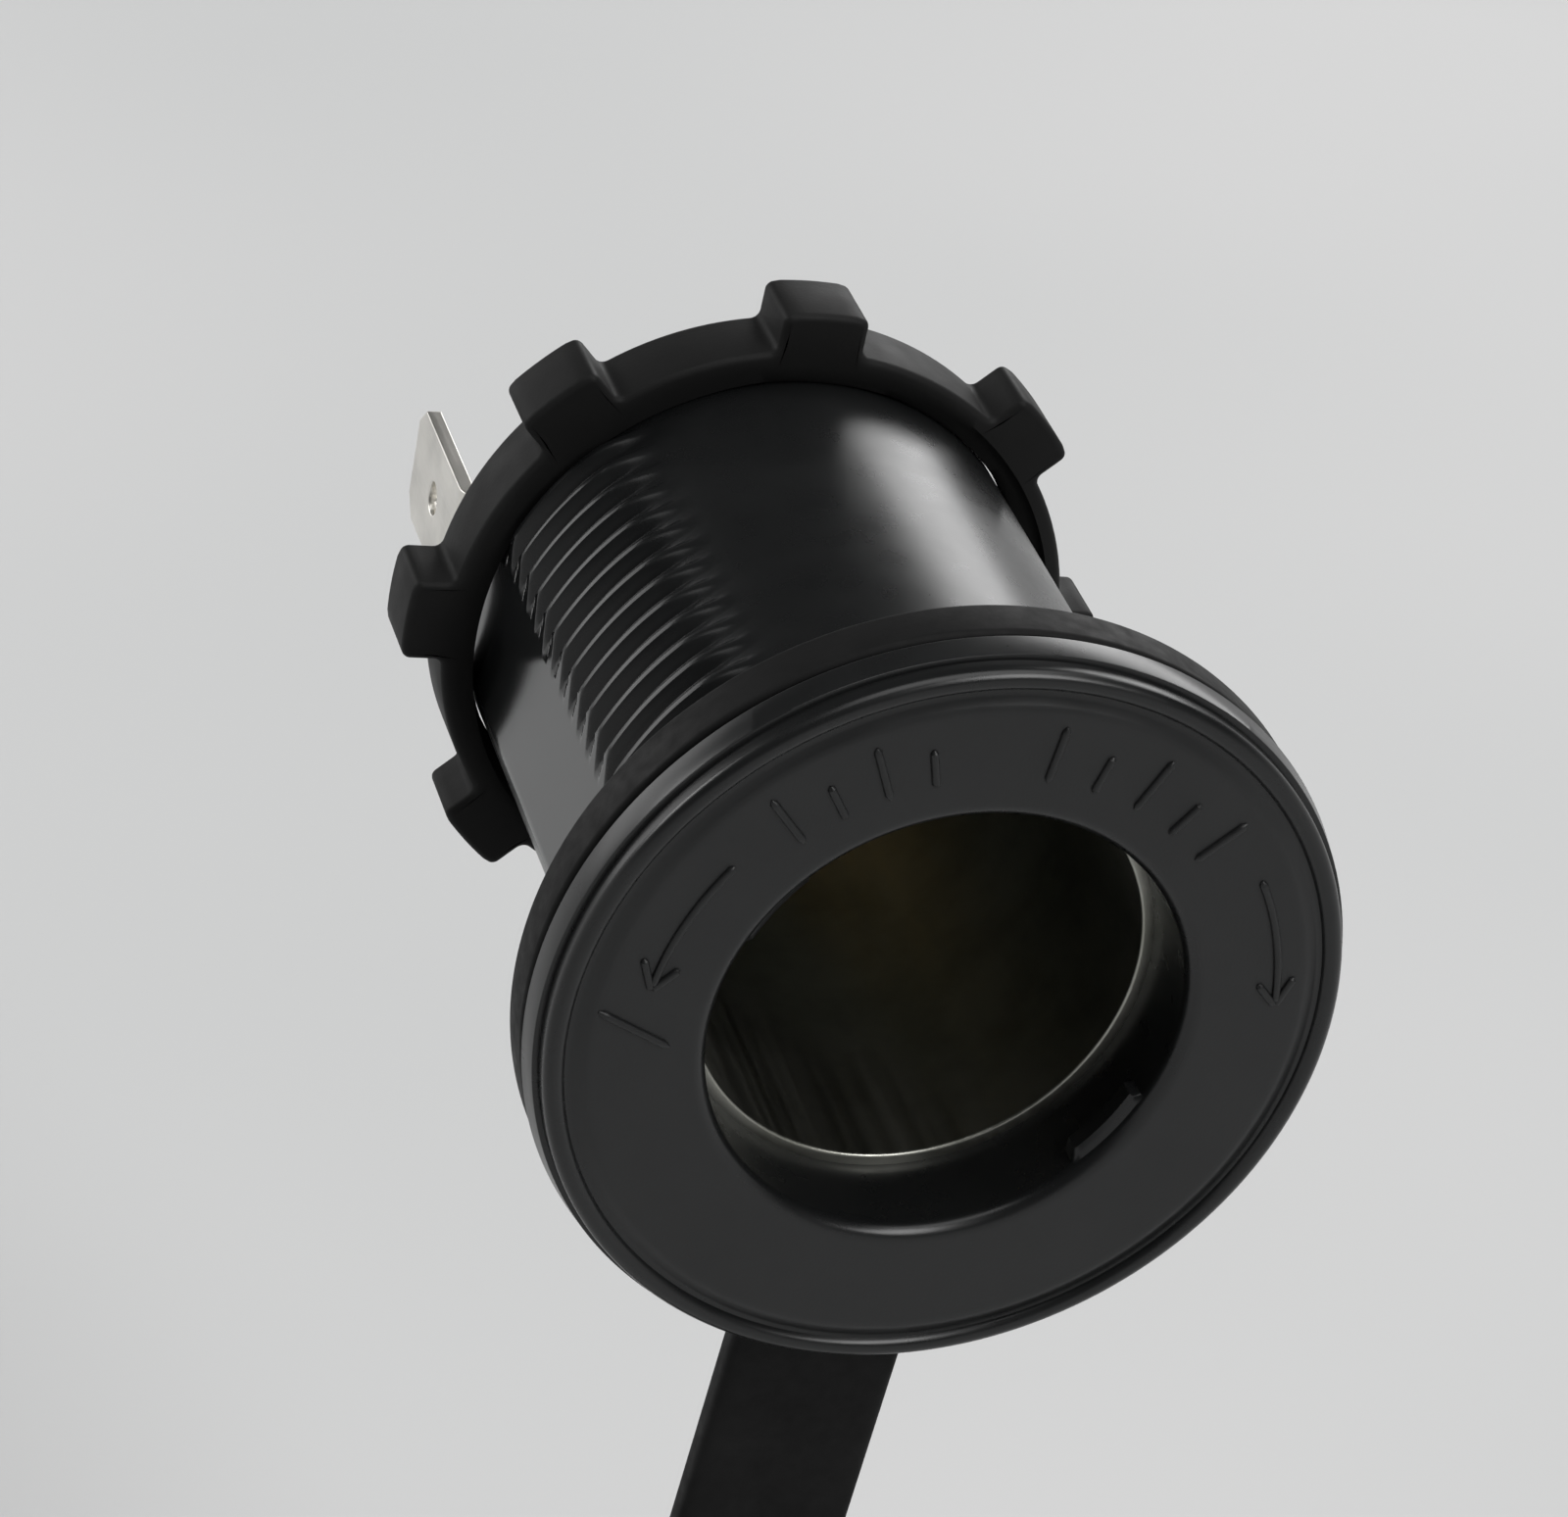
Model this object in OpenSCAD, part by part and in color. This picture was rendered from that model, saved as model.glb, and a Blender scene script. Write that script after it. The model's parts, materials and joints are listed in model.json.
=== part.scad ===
// Panel-mount 12 V accessory power socket.
// The well's axis is Y: the bezel faces -Y, +Z is up and the tether hangs to -Z.
// The origin is on the axis, at the plane where the panel meets the tether ring.

/* [Well] */
// Bore of the metal shell, for a 21 mm accessory plug
well_d = 21; // [20.9:0.05:21.3]
// Length of the shell's full bore
well_l = 28; // [24:0.5:36]
// Depth from the bezel's face to the shell's rim
mouth_l = 5; // [4:0.1:6]
// Wall of the metal shell
shell_t = 0.7; // [0.5:0.1:1]
// Step from the well to the narrower cup behind the shell's cone
cone_step = 1.1; // [0.8:0.1:1.5]
// Depth of that cup
cup_l = 2.3; // [2:0.1:4]
// Width of the shoulder that the shell's rim rests against
rim_stop = 0.15; // [0.1:0.05:0.3]

/* [Bezel] */
// Width of the bezel, from the mouth to the lip
bezel_w = 7.35; // [6.5:0.05:11]
// Thickness of the bezel
bezel_t = 2.4; // [2.2:0.1:4]
// Radius of the rounded lip
lip_bead = 0.5; // [0.4:0.05:0.7]
// Width of the shallow ring groove inside the lip
groove_w = 0.8; // [0.5:0.1:1.5]
// Depth of the shallow ring groove
groove_h = 0.25; // [0.1:0.05:0.4]
// Step from the lip to the band behind it
band_step = 0.3; // [0.2:0.05:0.6]
// Taper of the band towards its rear edge
band_taper = 0.2; // [0:0.05:0.4]
// Distance from the face to the band
band_back = 1.1; // [0.9:0.1:1.4]
// Rounding of the mouth's edge
mouth_edge = 0.5; // [0.3:0.1:0.8]
// Height of the boss that keeps the shadow gap open
boss_h = 0.35; // [0.2:0.05:0.6]
// Inset of that boss from the lip
boss_inset = 1.4; // [1:0.1:1.8]

/* [Lock lugs in the mouth] */
// Angle of the first lug, from +X towards +Z
lug_angle = -34; // [-60:1:0]
// Angle that a lug covers
lug_span = 22; // [12:1:30]
// Thickness of a lug along the axis
lug_t = 1.2; // [0.8:0.1:1.6]
// Distance from the face to a lug
lug_back = 0.6; // [0.5:0.1:1]
// Chamfer along a lug's front edge
lug_chamfer = 0.3; // [0.1:0.05:0.5]

/* [Barrel] */
// Wall of the smooth barrel
barrel_wall = 2.75; // [2.5:0.05:3.75]
// Depth of the two flats, from the smooth barrel
flat_cut = 0.6; // [0.3:0.05:0.9]
// Height of the thread over the smooth barrel
thread_h = 0.6; // [0.4:0.05:0.9]
// Pitch of the thread
thread_pitch = 1.75; // [1.5:0.05:2.5]
// Width of a thread ridge at its foot
ridge_w = 1.25; // [0.9:0.05:1.4]
// Width of a thread ridge at its crest
crest_w = 0.35; // [0.2:0.05:0.5]
// Angle from the flats' middle to the end of the thread
thread_end_angle = 52; // [40:1:60]
// First ridge, from the panel plane
thread_start = 1.3; // [1:0.1:3]
// Chamfer at the barrel's rear end
end_chamfer = 0.3; // [0.1:0.05:0.5]

/* [Ring nut] */
// Thickness of the ring nut
nut_t = 4; // [3:0.25:6]
// Distance from the barrel's rear end to the nut
nut_back = 2.2; // [1:0.1:8]
// Wall of the nut between its lugs
nut_wall = 0.9; // [0.7:0.1:2]
// Height of a lug
nut_lug_h = 2; // [1:0.1:3]
// Width of a lug
nut_lug_w = 4.3; // [3:0.1:6]
// Number of lugs
nut_lugs = 8; // [6:1:10]
// Turn of the nut, from a lug at the top towards -X
nut_turn = -2; // [-20:1:20]
// Rounding at the edges of the nut's faces
nut_edge = 0.35; // [0.2:0.05:0.5]

/* [Tether] */
// Width of the tether ring, from its bore to its edge
ring_w = 4.15; // [3.4:0.05:7]
// Thickness of the tether ring
ring_t = 2.5; // [2.2:0.1:4]
// Rounding of the ring's outer edges
ring_edge = 0.35; // [0.2:0.05:0.6]
// Turn of the tether, from straight down towards -X
tether_turn = 4.5; // [0:0.5:20]
// Width of the strap
strap_w = 8.5; // [6:0.5:12]
// Thickness of the strap
strap_t = 1.6; // [1.2:0.1:2]
// Free length of the strap, from ring to cap
strap_l = 14; // [8:0.5:20]
// Radius of the fillets at the strap's ends
strap_fillet = 1.5; // [0.5:0.25:3]

/* [Dust cap] */
// Thickness of the cap's head
cap_t = 2.2; // [2:0.1:3.5]
// Rounding of the head's edge
cap_edge = 0.6; // [0.3:0.1:0.9]
// Height of the plug below the head
plug_l = 4.5; // [3:0.1:4.5]
// Wall of the plug
plug_t = 1.8; // [1.2:0.1:2.5]
// Height of the sealing rib under the head
seal_h = 0.25; // [0.1:0.05:0.25]
// Width of the sealing rib
seal_w = 0.5; // [0.3:0.1:0.8]
// Reach of the pull tab beyond the head
tab_l = 4.5; // [3:0.5:8]
// Width of the pull tab
tab_w = 9; // [6:0.5:12]
// Number of grip ridges on the pull tab
tab_ridges = 3; // [2:1:4]

/* [Rear cover] */
// Depth of the spigot inside the barrel
spigot_l = 2.8; // [2.4:0.1:4]
// Thickness of the cover's flange
cover_t = 1.6; // [1.2:0.1:3]
// Edge of the barrel's flats beyond the flange
cover_inset = 0.2; // [0.1:0.05:0.5]
// Height of the snap bead
bead_h = 0.25; // [0.1:0.05:0.3]
// Width of the key against turning
key_w = 2.4; // [1.5:0.1:4]
// Height of the key over the spigot
key_h = 0.9; // [0.5:0.1:1.1]
// Thickness of the barrier between the terminals
barrier_t = 0.6; // [0.5:0.1:0.8]
// Height of the barrier
barrier_h = 2.3; // [1.5:0.1:2.5]
// Length of the barrier
barrier_l = 13; // [8:0.5:16]

/* [Contacts] */
// Diameter of the stud
stud_d = 4; // [3.5:0.1:4.5]
// Diameter of the contact's head
contact_d = 7; // [6:0.2:8]
// Height of the contact's head
contact_h = 1.8; // [1.2:0.1:2.4]
// Length of the stud beyond its nut
stud_tail = 1; // [0.5:0.1:2]
// Thickness of the inner insulator's flange
insulator_t = 1.2; // [0.8:0.1:1.6]
// Diameter of the inner insulator's flange
insulator_d = 10; // [9:0.2:10.4]
// Wall of the insulator's boss through the shell
boss_wall = 0.9; // [0.6:0.1:1.1]
// Thickness of the blades
blade_t = 0.8; // [0.6:0.1:1]
// Width of the blades
blade_w = 6.3; // [4.8:0.1:6.5]
// Reach of the blades behind the cover
blade_l = 10; // [8:0.5:14]
// Radius of the eye on the positive terminal
eye_r = 3.8; // [3.6:0.1:4.1]
// Middle of the positive blade, from the axis
pos_blade_x = 8; // [7:0.1:11]
// Distance from the rivet to the middle of the negative blade
neg_blade_reach = 5.9; // [4.7:0.1:7.5]
// Diameter of the ground rivet
rivet_d = 2.4; // [2:0.1:2.8]
// Diameter of the rivet's heads
rivet_head_d = 3.4; // [3.2:0.1:3.8]
// Height of the rivet's heads
rivet_head_h = 0.8; // [0.5:0.1:1]
// Thickness of the plain washer
washer_t = 0.8; // [0.5:0.1:1]
// Thickness of the lock washer
lock_t = 1; // [0.8:0.1:1.2]
// Height of the stud's nut
stud_nut_h = 3.2; // [2.5:0.1:4]
// Width of the stud's nut across its flats
stud_nut_w = 7; // [6.6:0.1:7.4]

/* [Clearances] */
// Between the shell and the barrel
shell_fit = 0.05; // [0.02:0.01:0.1]
// Between the cover's spigot and the barrel
cover_fit = 0.05; // [0.02:0.01:0.1]
// Between the snap bead and its groove
bead_fit = 0.1; // [0.05:0.01:0.15]
// Between the key and its notch, on each side
key_fit = 0.1; // [0.05:0.01:0.2]
// Between the tether ring and the neck
ring_fit = 0.05; // [0.02:0.01:0.1]
// Play of the tether ring along the axis
ring_play = 0.05; // [0.02:0.01:0.15]
// Between the nut's bore and the thread's crest
nut_fit = 0.3; // [0.1:0.05:0.4]
// Between the lock lugs and a full-size plug
lug_fit = 0.1; // [0.05:0.01:0.2]
// Between the closed cap and the bezel's face
cap_gap = 0.3; // [0.3:0.05:0.6]
// Between the cap's plug and the lock lugs
plug_fit = 0.25; // [0.2:0.05:0.5]
// Between the strap's two halves at the fold
fold_gap = 0.3; // [0.2:0.05:0.5]
// Between the stud and what it passes through
stud_fit = 0.1; // [0.05:0.01:0.2]
// Between the stud and its nut
nut_thread_fit = 0.05; // [0.02:0.01:0.1]
// Between the insulator's boss and the shell
boss_fit = 0.1; // [0.05:0.01:0.2]
// Between the rivet and what it passes through
rivet_fit = 0.05; // [0.02:0.01:0.1]
// On each side of the barrier
barrier_gap = 0.3; // [0.2:0.05:0.5]

/* [Hidden] */
$fn = 96;

// Contacts across the well's floor, from the stud outwards to the negative terminal's leg
stud_r = stud_d / 2;
stud_hole_r = stud_r + stud_fit;
insulator_boss_r = stud_hole_r + boss_wall;
floor_hole_r = insulator_boss_r + boss_fit;
barrier_x = eye_r + barrier_gap;
leg_end_x = barrier_x + barrier_t + barrier_gap;
leg_margin = 0.6;
rivet_r = rivet_d / 2;
rivet_hole_r = rivet_r + rivet_fit;
rivet_head_r = rivet_head_d / 2;
head_room = 0.4;

// Radii of the well and the shell, whose cup holds the rivet's head
well_r = well_d / 2;
shell_r = well_r + shell_t;
cup_min_r = leg_end_x + leg_margin + 2 * rivet_head_r + head_room;
cup_r = max(well_r - cone_step, cup_min_r);
rivet_x = cup_r - head_room - rivet_head_r;
mouth_r = shell_r - rim_stop;
lug_r = well_r + lug_fit;
// The barrel's bore lets the widest part of the shell in from behind
bore_r = max(well_r, cup_r) + shell_t + shell_fit;
// Radii outside the barrel
barrel_r = bore_r + barrel_wall;
crest_r = barrel_r + thread_h;
flat_x = barrel_r - flat_cut;
lip_r = mouth_r + bezel_w;
band_r = lip_r + band_step;
boss_r = lip_r - boss_inset;
ring_bore_r = crest_r + ring_fit;
ring_r = ring_bore_r + ring_w;
nut_bore_r = crest_r + nut_fit;
nut_r = nut_bore_r + nut_wall;
// The cap's head covers the bezel, and its plug passes the lock lugs
cap_r = lip_r;
plug_r = lug_r - plug_fit;

// Places in front of the panel plane
strap_y = -ring_t / 2;
boss_y = -(ring_t + ring_play);
bezel_y = boss_y - boss_h;
face_y = bezel_y - bezel_t;
rim_y = face_y + mouth_l;
groove_r = lip_r - 2 * lip_bead;

// Places behind the panel plane
well_end_y = rim_y + well_l;
cone_end_y = well_end_y + abs(well_r - cup_r);
floor_y = cone_end_y + cup_l;
base_y = floor_y + shell_t;
barrel_end_y = base_y + spigot_l;
cover_y = barrel_end_y + cover_t;
terminal_y = cover_y + blade_t;
washer_y = terminal_y + washer_t;
lock_y = washer_y + lock_t;
stud_nut_y = lock_y + stud_nut_h;
stud_end_y = stud_nut_y + stud_tail;
contact_y = floor_y - insulator_t;
nut_y = barrel_end_y - nut_back - nut_t;
thread_end_y = barrel_end_y - ridge_w;

// The snap bead halfway along the spigot
bead_y = base_y + spigot_l / 2;
bead_half = 0.6;

// The cap hangs so that half a turn about the fold brings it onto the mouth
cap_under_y = strap_y - cap_t / 2;
fold_y = (cap_under_y + face_y - cap_gap) / 2;
fold_z = (ring_r + strap_l + cap_r) / 2;
cap_z = 2 * fold_z;

// Depth to which the strap's roots reach into the ring and the cap
root_sink = 0.3;
// Distance from the panel plane to the neck's rear end
neck_back = 0.3;
// Reach of a joined shape into its neighbour, and of a cut past the surface
overlap = 0.1;
past = 1;

// Points on an arc, from angle a to angle b
function arc(x, y, r, a, b, n = 6) =
    [for (i = [0 : n]) let (t = a + (b - a) * i / n) [x + r * cos(t), y + r * sin(t)]];

// Turns a shape modelled along +Z so that it lies along +Y, with its +Y pointing down
module along_axis() {
    rotate([-90, 0, 0]) children();
}

// A revolved outline of radii and places along the axis
module turned(points) {
    rotate_extrude() polygon(points);
}

// A turned outline that covers only part of the circle, centred on an angle from +X towards +Z
module turned_part(points, middle, span) {
    rotate([0, 0, -middle - span / 2]) rotate_extrude(angle = span) polygon(points);
}

// A straight cylinder between two places along the axis
module rod(r, from, to) {
    translate([0, 0, from]) cylinder(r = r, h = to - from);
}

// The bezel's outline: flat face, ring groove, rounded lip and tapered band
module bezel() {
    bead_foot = asin(1 - groove_h / lip_bead);
    turned(concat(
        [[0, face_y], [groove_r - groove_w, face_y], [groove_r - groove_w + groove_h, face_y + groove_h]],
        arc(lip_r - lip_bead, face_y + lip_bead, lip_bead, bead_foot - 180, 0, 10),
        [[lip_r, face_y + band_back], [band_r, face_y + band_back],
            [band_r + band_taper, bezel_y - band_taper], [band_r, bezel_y], [0, bezel_y]]
    ));
    rod(boss_r, bezel_y - overlap, boss_y);
}

// Thread ridges, one comb-shaped outline turned through an arc at one side of each flat
module thread() {
    ridges = floor((thread_end_y - thread_start) / thread_pitch);
    sink = 0.2;
    spine = 0.8;
    sunk_r = barrel_r - sink;
    slope = (ridge_w - crest_w) / 2 * (1 + sink / thread_h);
    comb = concat(
        [[sunk_r - spine, thread_start - ridge_w]],
        [for (i = [0 : ridges]) let (y = thread_start + i * thread_pitch)
            each [[sunk_r, y - crest_w / 2 - slope], [crest_r, y - crest_w / 2],
                [crest_r, y + crest_w / 2], [sunk_r, y + crest_w / 2 + slope]]],
        [[sunk_r - spine, thread_start + ridges * thread_pitch + ridge_w]]
    );
    for (side = [0, 180])
        turned_part(comb, side - thread_end_angle / 2, thread_end_angle);
}

// Smooth barrel with its thread, cut by the two flats
module barrel() {
    intersection() {
        union() {
            turned([[0, bezel_y], [barrel_r, bezel_y], [barrel_r, barrel_end_y - end_chamfer],
                [barrel_r - end_chamfer, barrel_end_y], [0, barrel_end_y]]);
            thread();
        }
        translate([-flat_x, -crest_r, bezel_y]) cube([2 * flat_x, 2 * crest_r, barrel_end_y - bezel_y]);
    }
}

// Bezel, neck and barrel are one moulding, open from end to end
module housing() {
    mouth = concat(
        [[0, face_y - past], [mouth_r + mouth_edge, face_y - past]],
        arc(mouth_r + mouth_edge, face_y + mouth_edge, mouth_edge, -90, -180, 6),
        [[mouth_r, rim_y], [bore_r, rim_y], [bore_r, barrel_end_y + past], [0, barrel_end_y + past]]
    );
    groove_half = bead_half + bead_fit;
    groove = [[bore_r - past, bead_y - groove_half], [bore_r, bead_y - groove_half],
        [bore_r + bead_h + bead_fit, bead_y], [bore_r, bead_y + groove_half],
        [bore_r - past, bead_y + groove_half]];
    lug_y = face_y + lug_back;
    lug = [[lug_r, lug_y + lug_chamfer], [lug_r + lug_chamfer, lug_y], [mouth_r + past, lug_y],
        [mouth_r + past, lug_y + lug_t], [lug_r, lug_y + lug_t]];
    notch_r = bore_r + key_h + key_fit;
    notch_y = base_y - 2 * key_fit;
    color("#26272a") along_axis() {
        difference() {
            union() {
                bezel();
                rod(crest_r, bezel_y, -neck_back);
                barrel();
            }
            turned(mouth);
            turned(groove);
            translate([-key_w / 2 - key_fit, -notch_r, notch_y])
                cube([key_w + 2 * key_fit, notch_r, barrel_end_y - notch_y + past]);
        }
        for (side = [0, 180])
            turned_part(lug, lug_angle + side, lug_span);
    }
}

// Drawn cup with a cone to its narrower floor, the same wall all over
module socket_shell() {
    corner = shell_t * (sqrt(2) - 1);
    color("#b9bcc0") along_axis() difference() {
        turned([[0, base_y], [cup_r + shell_t, base_y], [cup_r + shell_t, cone_end_y + corner],
            [shell_r, well_end_y + corner], [shell_r, rim_y], [well_r, rim_y], [well_r, well_end_y],
            [cup_r, cone_end_y], [cup_r, floor_y], [0, floor_y]]);
        rod(floor_hole_r, floor_y - past, base_y + past);
        translate([-rivet_x, 0, 0]) rod(rivet_hole_r, floor_y - past, base_y + past);
    }
}

// Shouldered washer, its boss through the shell's floor
module inner_insulator() {
    color("#5a3d2b") along_axis() difference() {
        union() {
            rod(insulator_d / 2, contact_y, floor_y);
            rod(insulator_boss_r, contact_y, base_y);
        }
        rod(stud_hole_r, contact_y - past, base_y + past);
    }
}

// Domed head and stud, turned in one piece
module centre_contact() {
    head_r = contact_d / 2;
    rim_h = contact_h / 3;
    dome_h = contact_h - rim_h;
    dome_r = (head_r * head_r + dome_h * dome_h) / (2 * dome_h);
    half = asin(head_r / dome_r);
    top_y = contact_y - contact_h;
    chamfer = stud_d / 10;
    color("#c9a44c") along_axis() turned(concat(
        arc(0, top_y + dome_r, dome_r, -90, half - 90, 8),
        [[head_r, contact_y], [stud_r, contact_y], [stud_r, stud_end_y - chamfer],
            [stud_r - chamfer, stud_end_y], [0, stud_end_y]]
    ));
}

// Snap-in cover that carries both terminals and keeps them apart
module rear_cover() {
    cover_r = flat_x - cover_inset;
    spigot_r = bore_r - cover_fit;
    key_r = bore_r + key_h;
    chamfer = 0.3;
    color("#2b2c30") along_axis() difference() {
        union() {
            rod(spigot_r, base_y, barrel_end_y + overlap);
            turned([[0, barrel_end_y], [cover_r, barrel_end_y], [cover_r, cover_y - chamfer],
                [cover_r - chamfer, cover_y], [0, cover_y]]);
            turned([[spigot_r - past, bead_y - bead_half], [spigot_r, bead_y - bead_half],
                [spigot_r + bead_h, bead_y], [spigot_r, bead_y + bead_half],
                [spigot_r - past, bead_y + bead_half]]);
            translate([-key_w / 2, -key_r, base_y]) cube([key_w, key_r, spigot_l + overlap]);
            translate([-barrier_x - barrier_t, -barrier_l / 2, cover_y - overlap])
                cube([barrier_t, barrier_l, barrier_h + overlap]);
        }
        rod(stud_hole_r, base_y - past, cover_y + past);
        translate([-rivet_x, 0, 0]) rod(rivet_hole_r, base_y - past, cover_y + past);
    }
}

// Round-headed rivet through shell, cover and negative terminal
module ground_rivet() {
    crown_r = rivet_head_r * 0.6;
    side_h = rivet_head_h * 0.5;
    front_y = floor_y - rivet_head_h;
    rear_y = terminal_y + rivet_head_h;
    color("#b08a3c") along_axis() translate([-rivet_x, 0, 0]) turned([
        [0, front_y], [crown_r, front_y], [rivet_head_r, floor_y - side_h], [rivet_head_r, floor_y],
        [rivet_r, floor_y], [rivet_r, terminal_y], [rivet_head_r, terminal_y],
        [rivet_head_r, terminal_y + side_h], [crown_r, rear_y], [0, rear_y]]);
}

// Flat leg on the cover, a rounded bend and a blade that points rearwards
module bent_blade(leg_x, blade_x) {
    outer_x = blade_x + blade_t / 2;
    bend = blade_t * 1.4;
    tip_y = cover_y + blade_l;
    chamfer = blade_w / 6;
    cut_t = blade_t + 2 * past;
    dimple_r = 0.85;
    dimple_y = cover_y + blade_l * 0.55;
    difference() {
        translate([0, 0, -blade_w / 2]) linear_extrude(height = blade_w) polygon(concat(
            [[leg_x, terminal_y], [leg_x, cover_y]],
            arc(outer_x - bend, cover_y + bend, bend, -90, 0, 8),
            [[outer_x, tip_y], [outer_x - blade_t, tip_y]],
            arc(outer_x - bend, cover_y + bend, bend - blade_t, 0, -90, 8)
        ));
        for (side = [-1, 1])
            translate([blade_x, tip_y, side * blade_w / 2]) rotate([45, 0, 0])
                cube([cut_t, chamfer * sqrt(2), chamfer * sqrt(2)], center = true);
        translate([blade_x, dimple_y, 0]) rotate([0, 90, 0])
            cylinder(r = dimple_r, h = cut_t, center = true);
    }
}

// Blade terminal whose leg the rivet clamps
module negative_terminal() {
    color("#d8d6cf") difference() {
        mirror([1, 0, 0]) bent_blade(leg_end_x, rivet_x + neg_blade_reach);
        along_axis() translate([-rivet_x, 0, 0]) rod(rivet_hole_r, cover_y - past, terminal_y + past);
    }
}

// Blade terminal with an eye, clamped on the stud
module positive_terminal() {
    color("#d8d6cf") difference() {
        union() {
            bent_blade(0, pos_blade_x);
            along_axis() rod(eye_r, cover_y, terminal_y);
        }
        along_axis() rod(stud_hole_r, cover_y - past, terminal_y + past);
    }
}

// Flat washer on the positive terminal
module plain_washer() {
    washer_inset = 0.1;
    color("#c4c6c8") along_axis() difference() {
        rod(eye_r - washer_inset, terminal_y, washer_y);
        rod(stud_hole_r, terminal_y - past, washer_y + past);
    }
}

// Split spring washer, pressed flat
module lock_washer() {
    gap_angle = 12;
    gap_middle = -110;
    outer_r = stud_nut_w / 2;
    color("#8f9296") along_axis() turned_part([[stud_hole_r, washer_y], [outer_r, washer_y],
        [outer_r, lock_y], [stud_hole_r, lock_y]], gap_middle + 180, 360 - gap_angle);
}

// Hexagon nut with chamfered corners
module stud_nut() {
    flat_r = stud_nut_w / 2;
    corner_r = flat_r / cos(30);
    drop = (corner_r - flat_r) * tan(30);
    color("#c4c6c8") along_axis() difference() {
        intersection() {
            translate([0, 0, lock_y]) cylinder(r = corner_r, h = stud_nut_h, $fn = 6);
            turned([[0, lock_y], [flat_r, lock_y], [corner_r, lock_y + drop],
                [corner_r + past, lock_y + drop], [corner_r + past, stud_nut_y - drop],
                [corner_r, stud_nut_y - drop], [flat_r, stud_nut_y], [0, stud_nut_y]]);
        }
        rod(stud_r + nut_thread_fit, lock_y - past, stud_nut_y + past);
    }
}

// Castellated ring nut
module ring_nut() {
    lug_top = nut_r + nut_lug_h;
    end_y = nut_y + nut_t;
    color("#1f2022") along_axis() difference() {
        union() {
            turned([[0, nut_y], [nut_r - nut_edge, nut_y], [nut_r, nut_y + nut_edge],
                [nut_r, end_y - nut_edge], [nut_r - nut_edge, end_y], [0, end_y]]);
            intersection() {
                for (i = [0 : nut_lugs - 1])
                    rotate([0, 0, -nut_turn - 360 / nut_lugs * i])
                        translate([-nut_lug_w / 2, -lug_top - past, nut_y])
                            cube([nut_lug_w, nut_lug_h + past + nut_wall / 2, nut_t]);
                turned([[0, nut_y], [lug_top - nut_edge, nut_y], [lug_top, nut_y + nut_edge],
                    [lug_top, end_y - nut_edge], [lug_top - nut_edge, end_y], [0, end_y]]);
            }
        }
        rod(nut_bore_r, nut_y - past, end_y + past);
    }
}

// Outline of the strap from its root, with a fillet on each side, to its end
module strap_outline(root, end) {
    half = strap_w / 2;
    dir = end > root ? 1 : -1;
    fillet = [for (i = [0 : 6]) let (t = 90 * i / 6)
        [half + strap_fillet * (1 - sin(t)), root + dir * strap_fillet * (1 - cos(t))]];
    count = len(fillet);
    polygon(concat(fillet, [[half, end], [-half, end]],
        [for (i = [0 : count - 1]) [-fillet[count - 1 - i][0], fillet[count - 1 - i][1]]]));
}

// Outline of the pull tab, with rounded corners
module tab_outline(inner, outer) {
    half = tab_w / 2;
    r = tab_w / 4;
    polygon(concat([[half, inner]], arc(half - r, outer - r, r, 0, 90),
        arc(r - half, outer - r, r, 90, 180), [[-half, inner]]));
}

// Soft ring behind the bezel, with the strap's fixed half
module tether_ring() {
    root = sqrt(ring_r * ring_r - pow(strap_w / 2 + strap_fillet, 2)) - root_sink;
    color("#232427") rotate([0, tether_turn, 0]) along_axis() difference() {
        union() {
            turned(concat(
                [[ring_bore_r - past, -ring_t]],
                arc(ring_r - ring_edge, -ring_t + ring_edge, ring_edge, -90, 0, 4),
                arc(ring_r - ring_edge, -ring_edge, ring_edge, 0, 90, 4),
                [[ring_bore_r - past, 0]]
            ));
            translate([0, 0, strap_y - strap_t / 2]) linear_extrude(height = strap_t)
                strap_outline(root, fold_z - fold_gap / 2);
        }
        rod(ring_bore_r, -ring_t - past, past);
    }
}

// Head of the cap, its hollow plug, sealing rib and pull tab, about the cap's own axis
module cap_body() {
    top_y = cap_under_y + cap_t;
    under_chamfer = 0.2;
    plug_end_y = cap_under_y - plug_l;
    tip_chamfer = 0.5;
    seal_in = groove_r - groove_w / 2 - seal_w / 2;
    seal_out = seal_in + seal_w;
    seal_y = cap_under_y - seal_h;
    joint_y = cap_under_y + overlap;
    ridge_step = tab_l / (tab_ridges + 1);
    ridge_l = tab_w * 0.7;
    ridge_t = 0.6;
    ridge_h = 0.3;
    tab_sink = 2;
    difference() {
        union() {
            turned(concat(
                [[0, cap_under_y], [cap_r - under_chamfer, cap_under_y],
                    [cap_r, cap_under_y + under_chamfer]],
                arc(cap_r - cap_edge, top_y - cap_edge, cap_edge, 0, 90, 6),
                [[0, top_y]]
            ));
            turned([[0, joint_y], [0, plug_end_y], [plug_r - tip_chamfer, plug_end_y],
                [plug_r, plug_end_y + tip_chamfer], [plug_r, joint_y]]);
            turned([[seal_in, joint_y], [seal_in, seal_y], [seal_out, seal_y], [seal_out, joint_y]]);
            translate([0, 0, strap_y - strap_t / 2]) linear_extrude(height = strap_t)
                tab_outline(cap_r - tab_sink, cap_r + tab_l);
            for (i = [1 : tab_ridges])
                translate([-ridge_l / 2, cap_r + i * ridge_step - ridge_t / 2, strap_y])
                    cube([ridge_l, ridge_t, strap_t / 2 + ridge_h]);
        }
        rod(plug_r - plug_t, plug_end_y - past, cap_under_y);
    }
}

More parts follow.
